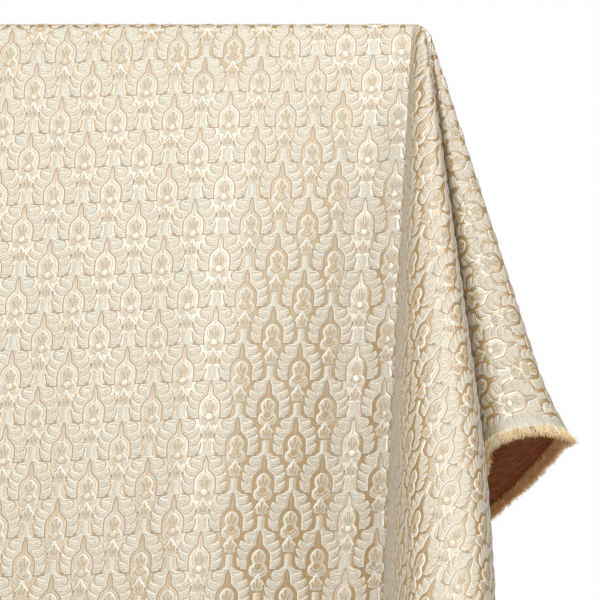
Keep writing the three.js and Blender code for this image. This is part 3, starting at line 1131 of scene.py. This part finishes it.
def reverse_material(damask, chart, yarn):
    material, tree, shader = material_of("Damask reverse")
    bench = Bench(tree)
    flat = bench.uv(FLAT_UV)
    pattern = use_group(bench, chart, Flat=flat)
    threads = use_group(bench, yarn, Flat=flat, Rib=0.9)
    streaks = bench.noise(bench.scaled(flat, (700.0, 50.0, 1.0)), 1.0, 3.0, 0.6)
    dark, light = shades(damask.reverse, 0.66, 1.7)
    colour = bench.mix(bench.span(streaks, 0.36, 0.74), dark, light)
    floats = bench.sum("MULTIPLY", pattern.outputs["Raised"], 0.25)
    colour = bench.mix(floats, colour, light)
    edges = bench.node("ShaderNodeSeparateXYZ")
    bench.link(bench.uv(EDGE_UV), edges.inputs[0])
    drawn = bench.noise(bench.scaled(flat, (420.0, 34.0, 1.0)), 1.0, 3.0, 0.6)
    strip = bench.sum(
        "MULTIPLY",
        bench.span(edges.outputs["X"], 0.012, 0.024),
        bench.span(edges.outputs["X"], 0.036, 0.062, 1.0, 0.0),
    )
    strip = bench.sum("MULTIPLY", strip, bench.span(drawn, 0.40, 0.66, 0.15, 0.85))
    colour = bench.mix(strip, colour, damask.reverse_floats)
    bench.link(colour, shader.inputs["Base Color"])
    shader.inputs["Roughness"].default_value = 0.75
    shader.inputs["Specular IOR Level"].default_value = 0.1
    floats = bench.bump(pattern.outputs["Height"], 0.0004, 0.6)
    fine = bench.bump(threads.outputs["Height"], 0.00008, 1.0, floats)
    bench.link(fine, shader.inputs["Normal"])
    return material


def cut_material(damask, yarn):
    material, tree, shader = material_of("Damask cut edge")
    bench = Bench(tree)
    flat = bench.uv(FLAT_UV)
    threads = use_group(bench, yarn, Flat=flat, Rib=1.0)
    share = bench.span(threads.outputs["Tone"], 0.35, 0.65)
    colour = bench.mix(share, damask.satin, damask.cream)
    bench.link(colour, shader.inputs["Base Color"])
    shader.inputs["Roughness"].default_value = 0.85
    fine = bench.bump(threads.outputs["Height"], 0.0001)
    bench.link(fine, shader.inputs["Normal"])
    return material


# ---------------------------------------------------------------- fringe


FRINGE_SEED = 11
# Lengths in metres. The first is where a strand starts, inside the cloth's edge.
FRINGE_START = -0.0036
FRINGE_CURL = 0.0016
FRINGE_LAYER = 0.0012
FRINGE_SAG = 0.0014
ROOT_STEP = 0.0015
# Directions from the corner, in degrees: the span searched for the side edge, and where its fringe is
# hidden and lies flatter.
FRINGE_SWEEP = (34.5, 90)
TUCK_BEGINS = (40, 46)
TUCK_ENDS = (68, 73)
# Strands gather in clumps: radians per metre of edge, and phase.
CLUMP_WAVES = ((1400, 0.0), (613, 1.3))
SHORTEST_STRAND = 0.62
STRAY_SIDEWAYS = 0.50
STRAY_LIFT = 0.22
CURL_TURNS = (5.0, 4.2)
STRAND_SIDES = 3
STRAND_TAPER = (1.0, 1.0, 0.95, 0.85, 0.7, 0.4)


def fringe_roots(drape, fringe):
    """Places and directions of the frayed wefts along the selvedge, spread evenly over its length."""
    angles = np.linspace(*FRINGE_SWEEP, 700, endpoint=False)
    side = np.linspace(0, 1, 400)
    lines = Drape(drape, angles, np.zeros(1), side, fringe.length)
    keep = lines.on_side
    r = np.stack([lines.length - ROOT_STEP, lines.length], axis=1)
    pair = lines.points(r)
    root, before = pair[:, 1], pair[:, 0]
    out = (root - before) / ROOT_STEP
    flat = lines.flat_points(r)[:, 1]
    return root[keep], out[keep], flat[keep], lines.angle[keep]


def strand_tubes(centre, up, radius):
    """Vertices and faces of one closed, tapering tube along each row of centre points."""
    count, rows, _ = centre.shape
    tangent = np.gradient(centre, axis=1)
    tangent /= np.linalg.norm(tangent, axis=2)[..., None]
    first = np.cross(tangent, up[:, None, :])
    first /= np.linalg.norm(first, axis=2)[..., None]
    second = np.cross(tangent, first)
    taper = radius * np.array(STRAND_TAPER)
    ring = []
    for k in range(STRAND_SIDES):
        turn = 2 * math.pi * k / STRAND_SIDES
        ring.append(centre + (first * math.cos(turn) + second * math.sin(turn)) * taper[None, :, None])
    points = np.stack(ring, axis=2).reshape(-1, 3)
    base = np.arange(count)[:, None, None] * rows * STRAND_SIDES
    k = np.arange(rows - 1)[None, :, None] * STRAND_SIDES
    n = np.arange(STRAND_SIDES)[None, None, :]
    a = base + k + n
    b = base + k + (n + 1) % STRAND_SIDES
    quads = np.stack([a, b, b + STRAND_SIDES, a + STRAND_SIDES], axis=-1).reshape(-1, 4)
    ends = np.arange(count)[:, None] * rows * STRAND_SIDES
    caps = np.concatenate([ends + [2, 1, 0], ends + (rows - 1) * STRAND_SIDES + [0, 1, 2]])
    return points, quads.tolist() + caps.tolist()


def build_fringe(drape, fringe):
    roots, outs, flats, angles = fringe_roots(drape, fringe)
    along = np.concatenate([[0], np.cumsum(np.linalg.norm(np.diff(flats, axis=0), axis=1))])
    run = np.gradient(roots, axis=0)
    run /= np.linalg.norm(run, axis=1)[:, None]
    normal = np.cross(outs, run)
    normal /= np.linalg.norm(normal, axis=1)[:, None]
    rng = np.random.default_rng(FRINGE_SEED)
    count = fringe.strands
    place = np.sort(rng.random(count)) * along[-1]

    def at(values):
        return np.stack([np.interp(place, along, values[:, k]) for k in range(values.shape[1])], axis=1)

    root, out, side, up = at(roots), at(outs), at(run), at(normal)
    angle = np.interp(place, along, angles)
    hidden = smooth_step(angle, *TUCK_BEGINS) * (1 - smooth_step(angle, *TUCK_ENDS))
    clump = sum(np.sin(place * rate + phase) * 0.5 for rate, phase in CLUMP_WAVES)
    shares = SHORTEST_STRAND + (1 - SHORTEST_STRAND) * rng.random(count)
    length = fringe.length * shares * (1.0 + 0.12 * clump)
    lateral = rng.normal(0, STRAY_SIDEWAYS, count) + clump * 0.25
    lift = rng.normal(0, STRAY_LIFT, count) * (1 - 0.8 * hidden)
    curl = rng.normal(0, 1.0, (count, 2)) * FRINGE_CURL
    steps = np.linspace(0, 1, len(STRAND_TAPER))
    layer = rng.random(count)
    offset = (layer - 0.5) * FRINGE_LAYER * (1 - 0.6 * hidden)
    centre = np.empty((count, len(steps), 3))
    for k, share in enumerate(steps):
        reach = FRINGE_START + (length - FRINGE_START) * share
        p = root + out * reach[:, None]
        bend = curl * np.sin(share * np.array(CURL_TURNS)) * share
        p += side * (lateral * np.maximum(reach, 0) + bend[:, 0])[:, None]
        p += up * (offset + lift * np.maximum(reach, 0) + bend[:, 1])[:, None]
        p[:, 2] -= FRINGE_SAG * share**1.6
        centre[:, k] = p
    points, faces = strand_tubes(centre, up, fringe.radius)
    points += corner_point()
    mesh = bpy.data.meshes.new(FRINGE_NAME)
    mesh.from_pydata(points.tolist(), [], faces)
    # Tone of each strand: strands further back along the edge are darker, which is painted shade; the
    # reverse side is darker than the face, partly for the face's paler yarn and partly as painted shade;
    # clumps and noise add random tone.
    behind = smooth_step(at(flats)[:, 1], 0.02, 0.10)
    tone = np.clip(layer * (1 - 0.85 * behind) + 0.18 * clump + rng.normal(0, 0.16, count), 0, 1)
    tone = np.repeat(tone, len(steps) * STRAND_SIDES)
    share = np.tile(np.repeat(steps, STRAND_SIDES), count)
    vertex = np.empty(len(mesh.loops), dtype=np.int32)
    mesh.loops.foreach_get("vertex_index", vertex)
    layer = mesh.uv_layers.new(name=FLAT_UV)
    values = np.stack([tone, share], axis=1)[vertex]
    layer.data.foreach_set("uv", values.astype(np.float32).ravel())
    mesh.polygons.foreach_set("use_smooth", [True] * len(mesh.polygons))
    mesh.update()
    return mesh


def fringe_material(fringe):
    material, tree, shader = material_of("Frayed wefts")
    bench = Bench(tree)
    split = bench.node("ShaderNodeSeparateXYZ")
    bench.link(bench.uv(FLAT_UV), split.inputs[0])
    layer, along = split.outputs["X"], split.outputs["Y"]
    # Colour by tone from dark through golden to pale; the darker tones carry painted shade on the reverse
    # side and the back.
    colour = bench.mix(bench.span(layer, 0.15, 0.45), fringe.shadow, fringe.golden)
    colour = bench.mix(bench.span(layer, 0.45, 0.85), colour, fringe.pale)
    # Painted shade at the roots: each strand turns toward golden where it leaves the cloth, which darkens
    # the pale strands there.
    root = bench.span(along, 0.1, 0.5, 0.5, 0.0)
    colour = bench.mix(root, colour, fringe.golden)
    bench.link(colour, shader.inputs["Base Color"])
    shader.inputs["Roughness"].default_value = 0.6
    shader.inputs["Specular IOR Level"].default_value = 0.25
    return material


# ---------------------------------------------------------------- table


def grain_group():
    """Beech grain: long growth lines, short rays and pores, along the chosen axis."""
    tree, source, result = new_group(
        "Beech grain",
        [("NodeSocketVector", "Place", None)],
        [("NodeSocketFloat", "Lines"), ("NodeSocketFloat", "Flecks"), ("NodeSocketFloat", "Height")],
    )
    bench = Bench(tree)
    place = source.outputs["Place"]
    bands = bench.noise(bench.scaled(place, (26.0, 26.0, 1.6)), 1.0, 4.0, 0.55)
    wave = bench.sum("SINE", bench.sum("MULTIPLY", bands, 42.0))
    lines = bench.span(wave, -0.8, 1.0)
    flecks = bench.noise(bench.scaled(place, (900.0, 900.0, 130.0)), 1.0, 2.0, 0.5)
    dashes = bench.span(flecks, 0.60, 0.72)
    height = bench.sum("SUBTRACT", bench.sum("MULTIPLY", lines, 0.3), dashes)
    bench.link(lines, result.inputs["Lines"])
    bench.link(dashes, result.inputs["Flecks"])
    bench.link(height, result.inputs["Height"])
    return tree


def wood_material(name, table, grain, turn):
    material, tree, shader = material_of(name)
    bench = Bench(tree)
    place = bench.node("ShaderNodeTexCoord")
    aim = bench.node("ShaderNodeMapping")
    bench.link(place.outputs["Object"], aim.inputs["Vector"])
    aim.inputs["Rotation"].default_value = turn
    wood = use_group(bench, grain, Place=aim.outputs["Vector"])
    colour = bench.mix(wood.outputs["Lines"], table.light_wood, table.dark_wood)
    flecks = bench.sum("MULTIPLY", wood.outputs["Flecks"], 0.45)
    colour = bench.mix(flecks, colour, [c * 0.6 for c in table.dark_wood])
    bench.link(colour, shader.inputs["Base Color"])
    rough = bench.span(wood.outputs["Lines"], 0.0, 1.0, 0.42, 0.52)
    bench.link(rough, shader.inputs["Roughness"])
    shader.inputs["Coat Weight"].default_value = 0.08
    shader.inputs["Coat Roughness"].default_value = 0.3
    bench.link(bench.bump(wood.outputs["Height"], 0.00006), shader.inputs["Normal"])
    return material


# ---------------------------------------------------------------- operators


class LayCloth(bpy.types.Operator):
    """Lay the damask over the table's corner and weave its face"""

    bl_idname = "damask.lay_cloth"
    bl_label = "Lay the damask"

    def execute(self, context):
        drape, damask, fringe = settings("drape"), settings("weave"), settings("fringe")
        grid = ClothGrid(drape, fringe.length)
        cloth = add_piece(CLOTH_NAME, build_sheet(grid, drape, damask))
        chart, yarn = chart_group(damask), weave_group()
        cloth.data.materials.append(face_material(damask, chart, yarn))
        cloth.data.materials.append(reverse_material(damask, chart, yarn))
        cloth.data.materials.append(cut_material(damask, yarn))
        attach(cloth, "root")
        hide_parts(CLOTH_NODE)
        return {"FINISHED"}


class FrayEdge(bpy.types.Operator):
    """Fray the side edge of the damask into a golden fringe"""

    bl_idname = "damask.fray_edge"
    bl_label = "Fray the side edge"

    def execute(self, context):
        drape, fringe = settings("drape"), settings("fringe")
        strands = add_piece(FRINGE_NAME, build_fringe(drape, fringe))
        strands.data.materials.append(fringe_material(fringe))
        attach(strands, "root")
        return {"FINISHED"}


class FinishTable(bpy.types.Operator):
    """Give the table's board, legs and aprons an oiled beech finish"""

    bl_idname = "damask.finish_table"
    bl_label = "Finish the table"

    def execute(self, context):
        table = settings("table")
        grain = grain_group()
        upright = wood_material("Beech upright", table, grain, (0.0, 0.0, 0.0))
        lengthwise = wood_material("Beech lengthwise", table, grain, (0.0, math.pi / 2, 0.0))
        crosswise = wood_material("Beech crosswise", table, grain, (math.pi / 2, 0.0, 0.0))
        by_name = dict.fromkeys((BOARD_NODE, "apron_front", "apron_back"), lengthwise)
        by_name.update(dict.fromkeys(("apron_left", "apron_right"), crosswise))
        for name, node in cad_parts.items():
            if name == CLOTH_NODE:
                continue
            for piece_slot in node.material_slots:
                piece_slot.material = by_name.get(name, upright)
        return {"FINISHED"}


# Where the lamps point, from the corner of the cloth.
LAMP_AIM = (-0.05, 0.0, -0.3)

# Turn is round the cloth from straight in front, rise is above level, both in degrees.
LAMPS = (
    # name, turn, rise, distance, width and height, watts
    ("Key", -3.5, 15, 3.0, (1.4, 1.6), 36.0),
    ("High", -12, 55, 4.0, (3.2, 1.8), 68.0),
    ("Right", 44, 26, 2.2, (1.2, 1.6), 13.0),
    ("Left", -58, 16, 3.0, (1.6, 1.6), 6.0),
    ("Back", 160, 50, 3.2, (1.6, 1.6), 14.0),
)
FLOOR_HALF_WIDTH = 7.0
FLOOR_BELOW_FEET = 0.0005


def lamp_toward(target, name, turn, rise, distance, size, power):
    """A soft lamp that shines at the target from an angle round it and a height above it, in degrees."""
    turn, rise = math.radians(turn), math.radians(rise)
    level = distance * math.cos(rise)
    away = Vector((level * math.sin(turn), -level * math.cos(turn), distance * math.sin(rise)))
    data = bpy.data.lights.new(name, "AREA")
    data.shape = "RECTANGLE"
    data.size, data.size_y = size
    data.energy = power
    lamp = bpy.data.objects.new(name, data)
    lamp.location = target + away
    lamp.rotation_mode = "QUATERNION"
    lamp.rotation_quaternion = (-away).to_track_quat("-Z", "Y")
    bpy.context.collection.objects.link(lamp)


def studio_world(ambient):
    world = bpy.data.worlds.new("Studio")
    world.use_nodes = True
    tree = world.node_tree
    tree.nodes.clear()
    out = tree.nodes.new("ShaderNodeOutputWorld")
    mix = tree.nodes.new("ShaderNodeMixShader")
    light = tree.nodes.new("ShaderNodeBackground")
    white = tree.nodes.new("ShaderNodeBackground")
    path = tree.nodes.new("ShaderNodeLightPath")
    light.inputs["Strength"].default_value = ambient
    white.inputs["Strength"].default_value = 1.0
    for node, place in ((path, (-600, 0)), (light, (-300, 100)), (white, (-300, -100)), (out, (200, 0))):
        node.location = place
    tree.links.new(path.outputs["Is Camera Ray"], mix.inputs[0])
    tree.links.new(light.outputs[0], mix.inputs[1])
    tree.links.new(white.outputs[0], mix.inputs[2])
    tree.links.new(mix.outputs[0], out.inputs[0])
    light.inputs["Color"].default_value = (1, 1, 1, 1)
    white.inputs["Color"].default_value = (1, 1, 1, 1)
    return world


class SetStage(bpy.types.Operator):
    """Set the pale floor, the soft lamps and the camera"""

    bl_idname = "damask.set_stage"
    bl_label = "Set the stage"

    def execute(self, context):
        studio = settings("studio")
        corner = Vector(corner_point())
        scene = context.scene
        mesh = bpy.data.meshes.new("floor")
        bm = bmesh.new()
        bmesh.ops.create_grid(bm, x_segments=8, y_segments=8, size=FLOOR_HALF_WIDTH)
        bm.to_mesh(mesh)
        bm.free()
        floor = add_piece("floor", mesh)
        floor.location.z = -FLOOR_BELOW_FEET
        material, _, shader = material_of("Pale floor")
        shader.inputs["Base Color"].default_value = (0.86, 0.86, 0.86, 1)
        shader.inputs["Roughness"].default_value = 0.9
        mesh.materials.append(material)
        scene.world = studio_world(studio.ambient)
        for lamp in LAMPS:
            lamp_toward(corner + Vector(LAMP_AIM), *lamp)
        lens = bpy.data.cameras.new("Camera")
        lens.sensor_width = 36.0
        lens.lens = studio.lens
        camera = bpy.data.objects.new("Camera", lens)
        camera.location = corner + Vector(studio.camera_offset)
        camera.rotation_euler = (math.pi / 2 + studio.camera_pitch, 0.0, 0.0)
        scene.collection.objects.link(camera)
        scene.camera = camera
        scene.view_settings.view_transform = "Standard"
        return {"FINISHED"}


class DamaskPanel(bpy.types.Panel):
    """Sizes, colours and steps of the damask"""

    bl_label = "Damask over a table"
    bl_idname = "VIEW3D_PT_damask_over_table"
    bl_space_type = "VIEW_3D"
    bl_region_type = "UI"
    bl_category = "Damask"

    def draw(self, context):
        for name, group in SETTINGS.items():
            box = self.layout.box()
            box.label(text=group.__doc__)
            for field in group.__annotations__:
                box.prop(getattr(context.scene, name), field)
        for operator in OPERATORS:
            self.layout.operator(operator.bl_idname)


OPERATORS = (LayCloth, FrayEdge, FinishTable, SetStage)


def register():
    for group in SETTINGS.values():
        bpy.utils.register_class(group)
    for operator in (*OPERATORS, DamaskPanel):
        bpy.utils.register_class(operator)
    for name, group in SETTINGS.items():
        setattr(bpy.types.Scene, name, PointerProperty(type=group))


def unregister():
    for name in SETTINGS:
        delattr(bpy.types.Scene, name)
    for operator in (DamaskPanel, *reversed(OPERATORS)):
        bpy.utils.unregister_class(operator)
    for group in reversed(SETTINGS.values()):
        bpy.utils.unregister_class(group)


def main():
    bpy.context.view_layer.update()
    register()
    bpy.ops.damask.lay_cloth()
    bpy.ops.damask.fray_edge()
    bpy.ops.damask.finish_table()
    bpy.ops.damask.set_stage()


if __name__ == "__main__":
    main()
